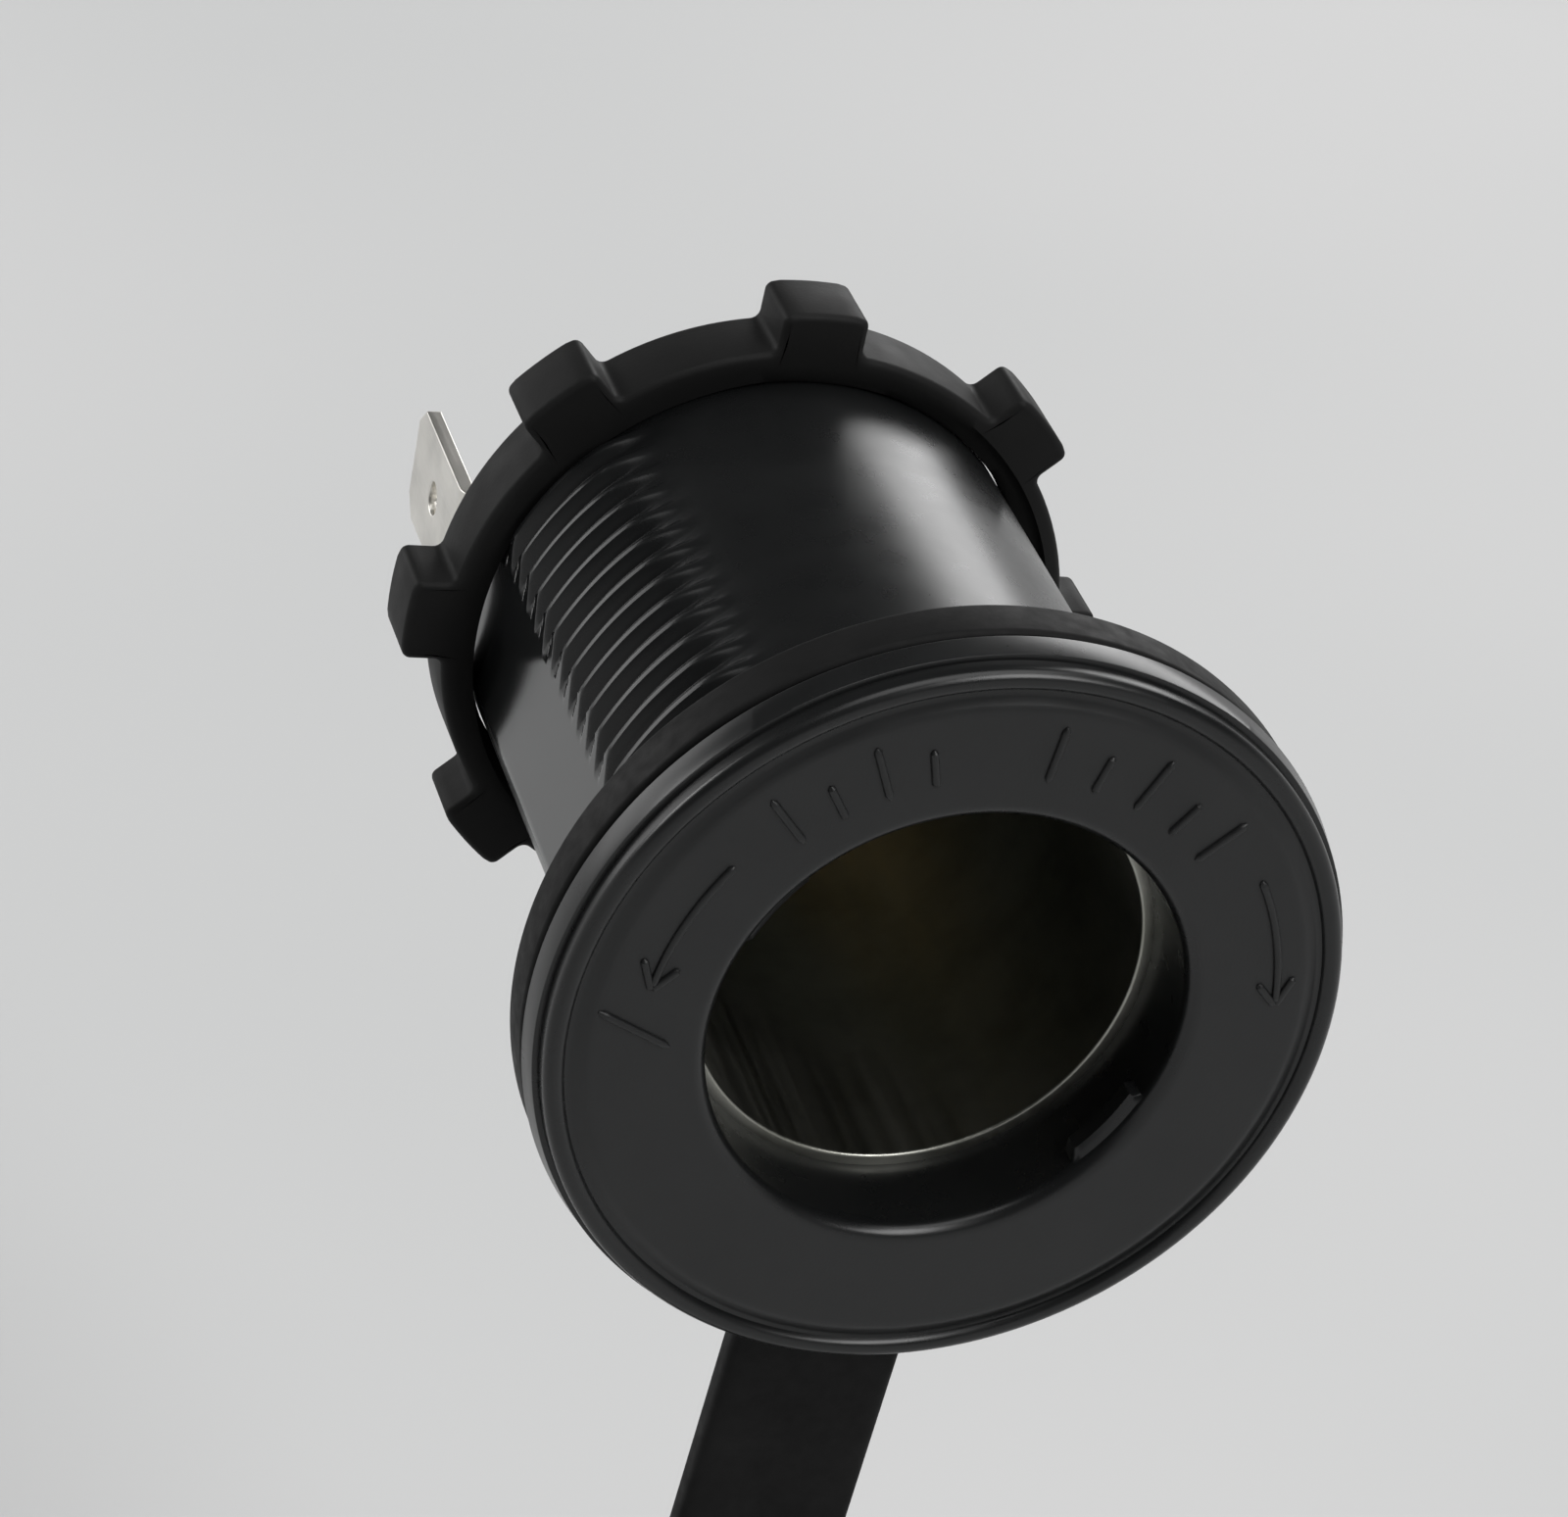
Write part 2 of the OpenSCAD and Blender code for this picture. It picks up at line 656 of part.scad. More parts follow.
// The cap with the strap's free half
module dust_cap() {
    root = cap_z - sqrt(cap_r * cap_r - pow(strap_w / 2 + strap_fillet, 2)) + root_sink;
    color("#232427") rotate([0, tether_turn, 0]) along_axis() {
        translate([0, cap_z, 0]) cap_body();
        translate([0, 0, strap_y - strap_t / 2]) linear_extrude(height = strap_t)
            strap_outline(root, fold_z + fold_gap / 2);
    }
}

housing();
socket_shell();
inner_insulator();
centre_contact();
rear_cover();
ground_rivet();
negative_terminal();
positive_terminal();
plain_washer();
lock_washer();
stud_nut();
ring_nut();
tether_ring();
dust_cap();
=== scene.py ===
import json
from math import radians

import bmesh
import bpy
import numpy as np
from mathutils import Matrix, Quaternion, Vector


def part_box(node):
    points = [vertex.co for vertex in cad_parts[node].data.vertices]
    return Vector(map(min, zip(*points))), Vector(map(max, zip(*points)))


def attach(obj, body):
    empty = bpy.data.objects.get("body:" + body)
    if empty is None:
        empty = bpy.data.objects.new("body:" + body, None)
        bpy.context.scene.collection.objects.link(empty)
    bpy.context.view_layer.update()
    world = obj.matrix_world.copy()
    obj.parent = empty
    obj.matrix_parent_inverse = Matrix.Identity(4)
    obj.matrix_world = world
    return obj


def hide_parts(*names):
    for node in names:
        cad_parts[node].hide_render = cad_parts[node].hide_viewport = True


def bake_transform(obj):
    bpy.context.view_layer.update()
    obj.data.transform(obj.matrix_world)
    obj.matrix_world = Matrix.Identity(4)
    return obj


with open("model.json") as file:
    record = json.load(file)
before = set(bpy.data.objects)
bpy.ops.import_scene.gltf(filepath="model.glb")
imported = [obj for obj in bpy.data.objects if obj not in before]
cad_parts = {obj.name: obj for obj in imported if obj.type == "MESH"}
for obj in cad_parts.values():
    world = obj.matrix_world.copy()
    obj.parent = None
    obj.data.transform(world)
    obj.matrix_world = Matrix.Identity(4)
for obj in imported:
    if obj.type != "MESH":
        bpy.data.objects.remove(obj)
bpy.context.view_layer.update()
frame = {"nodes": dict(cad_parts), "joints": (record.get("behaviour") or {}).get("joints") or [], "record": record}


# Helpers for shapes. Sizes are in millimetres, and surface() makes them metres.

def box_mm(node):
    """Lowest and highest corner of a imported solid, in millimetres."""
    low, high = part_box(node)
    return np.array(low) * 1000, np.array(high) * 1000


def surface(name, grid, loop=True, poles=()):
    """A closed mesh from grid[row, column], points in millimetres. Columns close on themselves.
    Rows close too when loop is true; otherwise the first and the last row each end in a pole."""
    rows, columns = grid.shape[:2]
    index = np.arange(rows * columns).reshape(rows, columns)
    here, there = (index, np.roll(index, -1, axis=0)) if loop else (index[:-1], index[1:])
    quads = np.stack([here, np.roll(here, -1, axis=1), np.roll(there, -1, axis=1), there], axis=-1)
    faces = quads.reshape(-1, 4).tolist()
    points = grid.reshape(-1, 3)
    if not loop:
        points = np.vstack([points, poles])
        first, last = index[0], index[-1]
        faces += np.stack([np.roll(first, -1), first, np.full(columns, rows * columns)], 1).tolist()
        faces += np.stack([last, np.roll(last, -1), np.full(columns, rows * columns + 1)], 1).tolist()
    mesh = bpy.data.meshes.new(name)
    mesh.from_pydata(points * 0.001, [], faces)
    piece = bpy.data.objects.new(name, mesh)
    bpy.context.scene.collection.objects.link(piece)
    return outward(piece)


def outward(piece, sharp=38):
    """Turns a closed mesh right side out, by the sign of its volume, and shades it smooth.
    The volume is a sixth of the sum of a . (b x c) over the triangles."""
    build = bmesh.new()
    build.from_mesh(piece.data)
    if build.calc_volume(signed=True) < 0:
        bmesh.ops.reverse_faces(build, faces=build.faces)
    build.to_mesh(piece.data)
    build.free()
    piece.data.polygons.foreach_set("use_smooth", np.ones(len(piece.data.polygons), bool))
    piece.data.set_sharp_from_angle(angle=radians(sharp))
    return piece


def bend(x, y, radius, start, end, count):
    """Points on an arc about (x, y): centre plus radius times cosine and sine, in degrees."""
    turn = np.radians(np.linspace(start, end, count))
    return np.stack([x + radius * np.cos(turn), y + radius * np.sin(turn)], axis=1)


def revolve(section, columns):
    """Grid of a section of (radius, place along Y) turned about Y: x = r cos, z = r sin."""
    turn = np.linspace(0, 2 * np.pi, columns, endpoint=False)
    r, y = section[:, :1], section[:, 1:]
    return np.stack([r * np.cos(turn), y + 0 * turn, r * np.sin(turn)], axis=-1)


def ease(t):
    """Smooth step: 3t^2 - 2t^3, held at 0 and 1."""
    t = np.clip(t, 0, 1)
    return t * t * (3 - 2 * t)


# Helpers for materials. Sizes are in metres, as the coordinates that the materials read.

def finish_nodes(name):
    """A new material: its node lists, its shader, and the piece's own coordinates in metres."""
    finish = bpy.data.materials.new(name)
    finish.use_nodes = True
    nodes, links = finish.node_tree.nodes, finish.node_tree.links
    place = nodes.new("ShaderNodeTexCoord").outputs["Object"]
    return finish, nodes, links, nodes["Principled BSDF"], place


def noise(nodes, links, place, size, detail=2.0, stretch=(1, 1, 1)):
    """Noise whose grains are size metres across, drawn out along an axis by stretch."""
    mapping = nodes.new("ShaderNodeMapping")
    mapping.inputs["Scale"].default_value = [1 / (size * s) for s in stretch]
    links.new(place, mapping.inputs["Vector"])
    grain = nodes.new("ShaderNodeTexNoise")
    grain.inputs["Scale"].default_value = 1.0
    grain.inputs["Detail"].default_value = detail
    links.new(mapping.outputs["Vector"], grain.inputs["Vector"])
    return grain.outputs["Fac"]


def blend_range(nodes, links, value, low_out, high_out, low_in=0.3, high_in=0.7):
    """Maps a grey value from low_in..high_in to low_out..high_out."""
    ramp = nodes.new("ShaderNodeMapRange")
    for socket, number in zip(("From Min", "From Max", "To Min", "To Max"),
                              (low_in, high_in, low_out, high_out)):
        ramp.inputs[socket].default_value = number
    links.new(value, ramp.inputs["Value"])
    return ramp.outputs["Result"]


def two_tone(nodes, links, value, dark, light):
    """Mixes two colours by a grey value."""
    mix = nodes.new("ShaderNodeMix")
    mix.data_type = "RGBA"
    mix.inputs["A"].default_value = (*dark, 1)
    mix.inputs["B"].default_value = (*light, 1)
    links.new(value, mix.inputs["Factor"])
    return mix.outputs["Result"]


def relief(nodes, links, shader, layers):
    """Chains bump nodes, one for each (height, depth in metres), into the shader's normal."""
    normal = None
    for height, depth in layers:
        bump = nodes.new("ShaderNodeBump")
        bump.inputs["Distance"].default_value = depth
        links.new(height, bump.inputs["Height"])
        if normal:
            links.new(normal, bump.inputs["Normal"])
        normal = bump.outputs["Normal"]
    links.new(normal, shader.inputs["Normal"])


def product(nodes, links, a, b):
    """One grey value times another."""
    times = nodes.new("ShaderNodeMath")
    times.operation = "MULTIPLY"
    links.new(a, times.inputs[0])
    links.new(b, times.inputs[1])
    return times.outputs["Value"]


def axis_place(nodes, links, place):
    """Distance from the Y axis, place along it, and distance from the plane X = 0, in metres."""
    split = nodes.new("ShaderNodeSeparateXYZ")
    links.new(place, split.inputs["Vector"])
    flat = nodes.new("ShaderNodeCombineXYZ")
    links.new(split.outputs["X"], flat.inputs["X"])
    links.new(split.outputs["Z"], flat.inputs["Z"])
    radius = nodes.new("ShaderNodeVectorMath")
    radius.operation = "LENGTH"
    links.new(flat.outputs["Vector"], radius.inputs[0])
    aside = nodes.new("ShaderNodeMath")
    aside.operation = "ABSOLUTE"
    links.new(split.outputs["X"], aside.inputs[0])
    return radius.outputs["Value"], split.outputs["Y"], aside.outputs["Value"]


# Housing: bezel, neck and barrel are one moulding of black glass-filled plastic, open from end to end.
# The barrel has two flats against turning, and a coarse thread on an arc at one side of each flat.
# Its face is spark-eroded matt, and the lip and barrel come out a little smoother.

low, high = box_mm("housing")
face_y, barrel_end_y, band_r = low[1], high[1], high[0]
well_r = frame["record"]["mounts"][0]["dims"]["r_mm"]
shell_low, shell_high = box_mm("socket_shell")
rim_y, shell_r = shell_low[1], shell_high[0]
mouth_r = shell_r - 0.15
bore_r = shell_r + 0.05
barrel_r, thread_h, flat_x = 14.0, 0.6, 13.4
crest_r = barrel_r + thread_h
lip_r, lip_bead, bezel_y, boss_r, boss_y = 18.4, 0.5, -2.9, 17.0, -2.55
lip_dip = np.array([[17.3, 0.36], [17.1, 0.3], [16.8, 0.13], [16.6, 0.03], [16.45, 0]])
band_edge, band_taper, band_front_edge, groove_y = 0.15, 0.2, 0.06, face_y + 1.1
neck_y, face_out_r, edge_break, end_chamfer = -0.3, 16.2, 0.1, 0.3
mouth_edge, face_rows, mouth_rows = 0.75, 8, 34
pitch, ridge_w, crest_w, first_ridge_y, ridges = 1.75, 1.25, 0.35, 1.3, 19
thread_end_angle, ridge_fade, rows_per_pitch = 52, 13, 12
lug_r, lug_angle, lug_span, lug_soft = well_r + 0.1, -34, 22, 1.4
lug_y, lug_t, lug_chamfer = face_y + 0.6, 1.2, 0.3


def thread_height(y, angle):
    """Right-handed thread on one arc beside each flat. Distance d to the nearest of the lines
    y = start + count * pitch - pitch * (angle - 180) / 360 gives an eased trapezoid. It fades at
    the arc's end."""
    from_flat = (angle + 90) % 180 - 90
    line_y = first_ridge_y - pitch * (angle - 180) / 360
    count = np.clip(np.round((y - line_y) / pitch), 0, ridges - 1)
    d = np.abs(y - line_y - count * pitch)
    ridge = ease((ridge_w / 2 - d) / ((ridge_w - crest_w) / 2))
    arc_end = ease((thread_end_angle + ridge_fade / 2 - np.abs(from_flat)) / ridge_fade)
    return thread_h * ridge * arc_end * (from_flat < 0)


def follow_thread(y, angle):
    """Axial shift that makes the rows run along the thread's helix on both sides of each flat, and
    back in between. It eases to nothing at both ends of the barrel."""
    from_flat = (angle + 90) % 180 - 90
    within = -pitch * from_flat / 360
    gap = 90 - thread_end_angle
    back = np.sign(from_flat) * -pitch * thread_end_angle / 360 * (90 - np.abs(from_flat)) / gap
    shift = np.where(np.abs(from_flat) <= thread_end_angle, within, back)
    front_y, rear_y, run_in = 0.1, barrel_end_y - 0.4, 0.6
    return shift * ease((y - front_y) / run_in) * ease((rear_y - y) / run_in)


def housing_section():
    """Closed section (radius, y) from the neck's rear edge forward over bezel, lip, groove and face,
    through the mouth and the bore, and back along the barrel. Returns it with its barrel rows last."""
    face_r = np.linspace(face_out_r, mouth_r + mouth_edge + 0.2, face_rows)
    mouth_y = np.linspace(face_y + mouth_edge + 0.05, rim_y - 0.05, mouth_rows)
    front = np.vstack([
        [[crest_r, neck_y], [crest_r, boss_y], [boss_r - edge_break, boss_y],
            [boss_r, boss_y - edge_break], [boss_r, bezel_y + 0.02], [boss_r + 0.05, bezel_y],
            [band_r - band_edge, bezel_y]],
        bend(band_r - band_edge, bezel_y - band_edge, band_edge, 90, 8, 6),
        [[band_r - band_taper, groove_y + band_front_edge]],
        bend(band_r - band_taper - band_front_edge, groove_y + band_front_edge, band_front_edge, 0, -90, 3),
        [[lip_r + 0.02, groove_y], [lip_r, groove_y - edge_break]],
        bend(lip_r - lip_bead, face_y + lip_bead, lip_bead, 0, -162, 17),
        lip_dip + [0, face_y],
        np.stack([face_r, np.full(face_rows, face_y)], axis=1),
        bend(mouth_r + mouth_edge, face_y + mouth_edge, mouth_edge, -90, -180, 11),
        np.stack([np.full(mouth_rows, mouth_r), mouth_y], axis=1),
        [[mouth_r, rim_y], [bore_r, rim_y], [bore_r, barrel_end_y - edge_break],
            [bore_r + edge_break, barrel_end_y], [barrel_r - end_chamfer, barrel_end_y],
            [barrel_r, barrel_end_y - end_chamfer]]])
    rows_y = np.arange(barrel_end_y - 0.5, -0.25, -pitch / rows_per_pitch)
    return front, np.stack([np.full(len(rows_y), barrel_r), rows_y], axis=1)


def housing_grid(columns=256):
    """The section turned about Y, with three changes of radius: lock lugs in the mouth, thread on
    the barrel, and the flats, where the radius is at most flat_x / |cos(angle)|."""
    front, back = housing_section()
    section = np.vstack([front, back])
    angle = np.linspace(0, 360, columns, endpoint=False)[None, :]
    r, y = np.repeat(section[:, :1], columns, 1), np.repeat(section[:, 1:], columns, 1)
    in_mouth = (np.abs(r - mouth_r) < 1e-6) & (y < rim_y - 0.01)
    from_lug = np.abs((angle - lug_angle + 90) % 180 - 90)
    rise = np.clip((y - lug_y) / lug_chamfer, 0, 1) * (y < lug_y + lug_t + 0.02)
    r = r - (mouth_r - lug_r) * in_mouth * rise * ease(((lug_span + lug_soft) / 2 - from_lug) / lug_soft)
    on_barrel = np.arange(len(section))[:, None] >= len(front)
    y = y + np.where(on_barrel, follow_thread(y, angle), 0)
    r = r + np.where(on_barrel, thread_height(y, angle), 0)
    outside = np.arange(len(section))[:, None] >= len(front) - 2
    turn = np.radians(angle)
    r = np.where(outside, np.minimum(r, flat_x / np.maximum(np.abs(np.cos(turn)), 0.01)), r)
    return np.stack([r * np.cos(turn), y, r * np.sin(turn)], axis=-1)


turned_rough, polished_rough, turned_grain, mask_soft = 0.65, 0.5, 0.2, 0.0002


def moulded_plastic(name, dark, light, smooth, rough, grain=0.00016, depth=0.000006, gloss=0.45,
                    eroded=None):
    """Moulded black plastic: eroded grain, faint flow marks in its colour, uneven gloss. Where
    eroded is (inner radius, outer radius, rear y, flat x) in metres, only that part of the face
    keeps its roughness and grain. The rest is as smooth as the mould's turned surfaces, and the
    two flats behind the panel plane are polished."""
    finish, nodes, links, shader, place = finish_nodes(name)
    flow = noise(nodes, links, place, 0.006, 3)
    links.new(two_tone(nodes, links, blend_range(nodes, links, flow, 0, 1), dark, light),
              shader.inputs["Base Color"])
    matt = blend_range(nodes, links, noise(nodes, links, place, 0.0021, 4), smooth, rough)
    skin = noise(nodes, links, place, grain, 2)
    if eroded:
        radius, along, aside = axis_place(nodes, links, place)
        inner, outer, rear, flat = eroded
        past_mouth = blend_range(nodes, links, radius, 0, 1, inner - mask_soft, inner + mask_soft)
        within_lip = blend_range(nodes, links, radius, 1, 0, outer - mask_soft, outer + mask_soft)
        in_front = blend_range(nodes, links, along, 1, 0, rear - mask_soft, rear + mask_soft)
        face = product(nodes, links, product(nodes, links, past_mouth, within_lip), in_front)
        on_flat = blend_range(nodes, links, aside, 0, 1, flat - 0.00004, flat - 0.00002)
        behind_panel = blend_range(nodes, links, along, 0, 1, 0, mask_soft)
        polish = product(nodes, links, on_flat, behind_panel)
        matt = product(nodes, links, matt, blend_range(nodes, links, face, turned_rough, 1, 0, 1))
        matt = product(nodes, links, matt, blend_range(nodes, links, polish, 1, polished_rough, 0, 1))
        skin = product(nodes, links, skin, blend_range(nodes, links, face, turned_grain, 1, 0, 1))
    links.new(matt, shader.inputs["Roughness"])
    shader.inputs["Specular IOR Level"].default_value = gloss
    relief(nodes, links, shader, [(skin, depth)])
    return finish


eroded_face = [mm * 0.001 for mm in (mouth_r + mouth_edge - 0.05, lip_dip[0, 0], face_y + 0.15, flat_x)]
housing_plastic = moulded_plastic("housing_plastic", dark=(0.0064, 0.0068, 0.007),
                                  light=(0.0092, 0.0096, 0.0098), smooth=0.40, rough=0.47,
                                  gloss=0.42, eroded=eroded_face)
housing = surface("housing_moulding", housing_grid())
housing.data.materials.append(housing_plastic)
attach(housing, "socket")
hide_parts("housing")


# Marks on the face: low raised bars of the same moulding. An index line and two curved arrows show
# which way a locking plug turns, and a plain scale of ticks stands between the arrows.

def raised_bar(path, width, height):
    """A rounded bar along a path of (x, z) points on the face. Its section is height * sin^0.8 over
    width * cos, sunk a little into the face, and both ends narrow along a quarter circle."""
    step = np.gradient(path, axis=0)
    along = step / np.linalg.norm(step, axis=1, keepdims=True)
    side = np.stack([along[:, 1], -along[:, 0]], axis=1)
    run = np.concatenate([[0], np.cumsum(np.linalg.norm(np.diff(path, axis=0), axis=1))])
    end = np.clip(np.minimum(run, run[-1] - run) / (width / 2), 0.05, 1)
    round_end = np.sqrt(1 - (1 - end) ** 2)[:, None]
    turn = np.linspace(0, np.pi, 9)
    across = np.concatenate([np.cos(turn), [-1, 1]])
    up = np.concatenate([np.sin(turn) ** 0.8 * height, [-mark_sink, -mark_sink]])
    x = path[:, :1] + side[:, :1] * across * round_end * width / 2
    z = path[:, 1:] + side[:, 1:] * across * round_end * width / 2
    y = face_y - up * np.where(up > 0, round_end, 1)
    return np.stack([x, y, z], axis=-1)


def joined(name, grids):
    """One mesh of several closed bars, each grid ended by its own first and last point."""
    parts = [surface(name + "_bar", g, False, [g[0].mean(0), g[-1].mean(0)]) for g in grids]
    with bpy.context.temp_override(active_object=parts[0], selected_editable_objects=parts):
        bpy.ops.object.join()
    parts[0].name = parts[0].data.name = name
    return parts[0]


def arc_path(radius, start, end, count=40):
    """Points on a circle of the face, angles in degrees from +X towards +Z."""
    turn = np.radians(np.linspace(start, end, count))
    return np.stack([radius * np.cos(turn), radius * np.sin(turn)], axis=1)


def line_path(radius_a, angle_a, radius_b, angle_b, count=14):
    """Points on a straight line between two places given by radius and angle."""
    a, b = arc_path(radius_a, angle_a, angle_a, 1), arc_path(radius_b, angle_b, angle_b, 1)
    return a + (b - a) * np.linspace(0, 1, count)[:, None]


mark_w, mark_h, mark_sink = 0.38, 0.2, 0.05
tick_angles = [131, 122, 113, 104, 82, 72, 62, 52, 43]
tick_in_r, long_tick_r, short_tick_r = 13.1, 15.9, 15.0
index_line = [line_path(12.9, -177, 16.4, 175.8)]
left_arrow = [arc_path(14.4, 143, 170), line_path(14.4, 170.6, 15.3, 165),
              line_path(14.4, 170.6, 13.5, 165.5)]
right_arrow = [arc_path(15.2, 31, 5), line_path(15.2, 4.4, 16.0, 9.6), line_path(15.2, 4.4, 14.3, 9.2)]
ticks = [line_path(tick_in_r, angle, short_tick_r if number % 2 else long_tick_r, angle)
         for number, angle in enumerate(tick_angles)]
bars = index_line + left_arrow + right_arrow + ticks
marks = joined("face_marks", [raised_bar(path, mark_w, mark_h) for path in bars])
marks.data.materials.append(housing_plastic)
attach(marks, "socket")


# Socket shell: a cup drawn from thin steel and nickel plated, pressed in from behind until its rim
# stands against the mouth's shoulder. The plug's side springs press on its wall.

def lathe(name, section, columns=160, ring=False):
    """A turned or drawn piece from a section of (radius, y). A section that starts and ends on the
    axis is closed by two poles; any other closes on itself."""
    section = np.asarray(section, float)
    if ring:
        return surface(name, revolve(section, columns))
    poles = [[0, section[0][1], 0], [0, section[-1][1], 0]]
    return surface(name, revolve(section[1:-1], columns), False, poles)


line_depth, drawn_stretch = 0.0000012, (1, 60, 1)


def plated_metal(name, colour, rough, line_size, lines="round", tarnish=None):
    """Plated metal with fine tool or drawing lines, turned round the Y axis or drawn along it.
    Round lines read (distance from the axis, y); drawn lines are noise stretched along Y."""
    finish, nodes, links, shader, place = finish_nodes(name)
    shader.inputs["Metallic"].default_value = 1.0
    if lines == "round":
        radius, along, _ = axis_place(nodes, links, place)
        rings = nodes.new("ShaderNodeCombineXYZ")
        links.new(radius, rings.inputs["X"])
        links.new(along, rings.inputs["Y"])
        line = noise(nodes, links, rings.outputs["Vector"], line_size, 3)
    else:
        line = noise(nodes, links, place, line_size, 3, drawn_stretch)
    stain = noise(nodes, links, place, 0.0035, 4)
    dull = tarnish or tuple(c * 0.72 for c in colour)
    links.new(two_tone(nodes, links, blend_range(nodes, links, stain, 0, 1, 0.42, 0.78), colour, dull),
              shader.inputs["Base Color"])
    links.new(blend_range(nodes, links, line, rough * 0.85, rough * 1.15), shader.inputs["Roughness"])
    relief(nodes, links, shader, [(line, line_depth)])
    return finish


wall = shell_r - well_r
well_l = frame["record"]["mounts"][0]["dims"]["length_mm"]
well_end_y = rim_y + well_l
cup_r, base_y = 9.4, shell_high[1]
floor_y = base_y - wall
cone_end_y = well_end_y + well_r - cup_r
corner = wall * (2 ** 0.5 - 1)
cup_fillet, base_fillet, rim_round, rim_edge, step_round = 0.4, 0.5, 0.15, 0.1, 0.08
shell_section = np.vstack([
    [[0, floor_y], [cup_r - cup_fillet, floor_y]],
    bend(cup_r - cup_fillet, floor_y - cup_fillet, cup_fillet, 90, 0, 6),
    [[cup_r, cone_end_y + 0.1], [cup_r + step_round, cone_end_y - step_round],
        [well_r - step_round, well_end_y + step_round], [well_r, well_end_y - 0.1],
        [well_r, well_end_y - well_l / 2], [well_r, rim_y + 0.2]],
    bend(well_r + rim_round, rim_y + rim_round, rim_round, 180, 270, 5),
    bend(shell_r - rim_edge, rim_y + rim_edge, rim_edge, -90, 0, 4),
    [[shell_r, well_end_y + corner], [cup_r + wall, cone_end_y + corner]],
    bend(cup_r + wall - base_fillet, base_y - base_fillet, base_fillet, 0, 90, 6),
    [[0, base_y]]])
nickel = plated_metal("nickel_plate", colour=(0.37, 0.37, 0.335), rough=0.36, line_size=0.0006,
                      lines="drawn", tarnish=(0.275, 0.28, 0.24))
shell = lathe("drawn_shell", shell_section, 192)
shell.data.materials.append(nickel)
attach(shell, "socket")
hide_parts("socket_shell")


# Floor of the well: a pressed fibre washer keeps the turned brass contact off the shell, and a brass
# rivet joins shell, cover and negative terminal. The contact's shank ends in the threaded stud.

def threaded_stud(name, head, shank_r, start_y, end_y, stud_pitch, thread_from, columns=64):
    """The contact turned in one piece: the head's section, then rows along the shank whose radius
    falls by a V thread. Its groove is deepest half a pitch from the helix y = -pitch * angle / 360."""
    rows_y = np.arange(start_y, end_y, stud_pitch / 8)
    section = np.vstack([head[1:], np.stack([np.full(len(rows_y), shank_r), rows_y], 1),
                         [[shank_r - end_taper, end_y], [shank_r - end_taper - 0.15, end_y]]])
    turn = np.linspace(0, 2 * np.pi, columns, endpoint=False)[None, :]
    r, y = np.repeat(section[:, :1], columns, 1), np.repeat(section[:, 1:], columns, 1)
    phase = (y / stud_pitch + turn / (2 * np.pi)) % 1
    groove = (1 - np.abs(phase - 0.5) * 2) * groove_depth
    cut = ((y > thread_from) & (y < end_y - 0.01) & (np.abs(r - shank_r) < 1e-6))
    r = r - np.where(cut, groove * ease((y - thread_from) / 0.6), 0)
    grid = np.stack([r * np.cos(turn), y, r * np.sin(turn)], axis=-1)
    return surface(name, grid, False, [[0, head[0][1], 0], [0, end_y, 0]])


contact_low, contact_high = box_mm("centre_contact")
head_r, stud_r, stud_end_y = contact_high[0], 2.0, contact_high[1]
stud_pitch, groove_depth, end_taper, threaded_l = 0.7, 0.28, 0.35, 4
head_edge, head_side, head_back = 0.12, 0.5, 0.6
insulator_low, insulator_high = box_mm("inner_insulator")
contact_y = insulator_low[1]
dome_h = contact_y - contact_low[1] - head_back
dome_r = (head_r ** 2 + dome_h ** 2) / (2 * dome_h)
dome_half = np.degrees(np.arcsin(head_r / dome_r))
head = np.vstack([
    bend(0, contact_low[1] + dome_r, dome_r, -90, dome_half - 92, 16),
    bend(head_r - head_edge, contact_y - head_side, head_edge, -50, 0, 4),
    [[head_r, contact_y - 0.1], [head_r - 0.1, contact_y], [stud_r, contact_y]]])
stud_nut_y = box_mm("stud_nut")[0][1]
contact = threaded_stud("brass_contact", head, stud_r - 0.01, contact_y + 0.2, stud_end_y, stud_pitch,
                        stud_nut_y - threaded_l)
brass = plated_metal("turned_brass", colour=(0.60, 0.46, 0.22), rough=0.28, line_size=0.0001,
                     tarnish=(0.32, 0.23, 0.11))
contact.data.materials.append(brass)
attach(contact, "socket")
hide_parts("centre_contact")


def pressed_fibre():
    """Pressed paper fibre: brown flecks drawn out sideways, with a rough skin."""
    finish, nodes, links, shader, place = finish_nodes("pressed_fibre")
    fleck = noise(nodes, links, place, 0.0004, 5, (1, 0.4, 3))
    links.new(two_tone(nodes, links, fleck, (0.065, 0.05, 0.037), (0.032, 0.026, 0.021)),
              shader.inputs["Base Color"])
    shader.inputs["Roughness"].default_value = 0.7
    relief(nodes, links, shader, [(fleck, 0.00004)])
    return finish


flange_r, shoulder_r, flange_edge = insulator_high[0], 3.0, 0.25
hole_r = stud_r + 0.1
insulator_section = [
    [hole_r, contact_y + 0.1], [hole_r + 0.1, contact_y], [flange_r - flange_edge, contact_y],
    [flange_r - 0.07, contact_y + 0.07], [flange_r, contact_y + flange_edge], [flange_r, floor_y - 0.05],
    [flange_r - 0.05, floor_y], [shoulder_r, floor_y], [shoulder_r, insulator_high[1]],
    [hole_r, insulator_high[1]]]
insulator = lathe("fibre_washer", insulator_section, 96, ring=True)
insulator.data.materials.append(pressed_fibre())
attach(insulator, "socket")
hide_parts("inner_insulator")


# Bought-in metal pieces and the snap-in cover keep their exact packed form. Each gets its edges
# broken as stamping, barrelling or moulding leaves them.

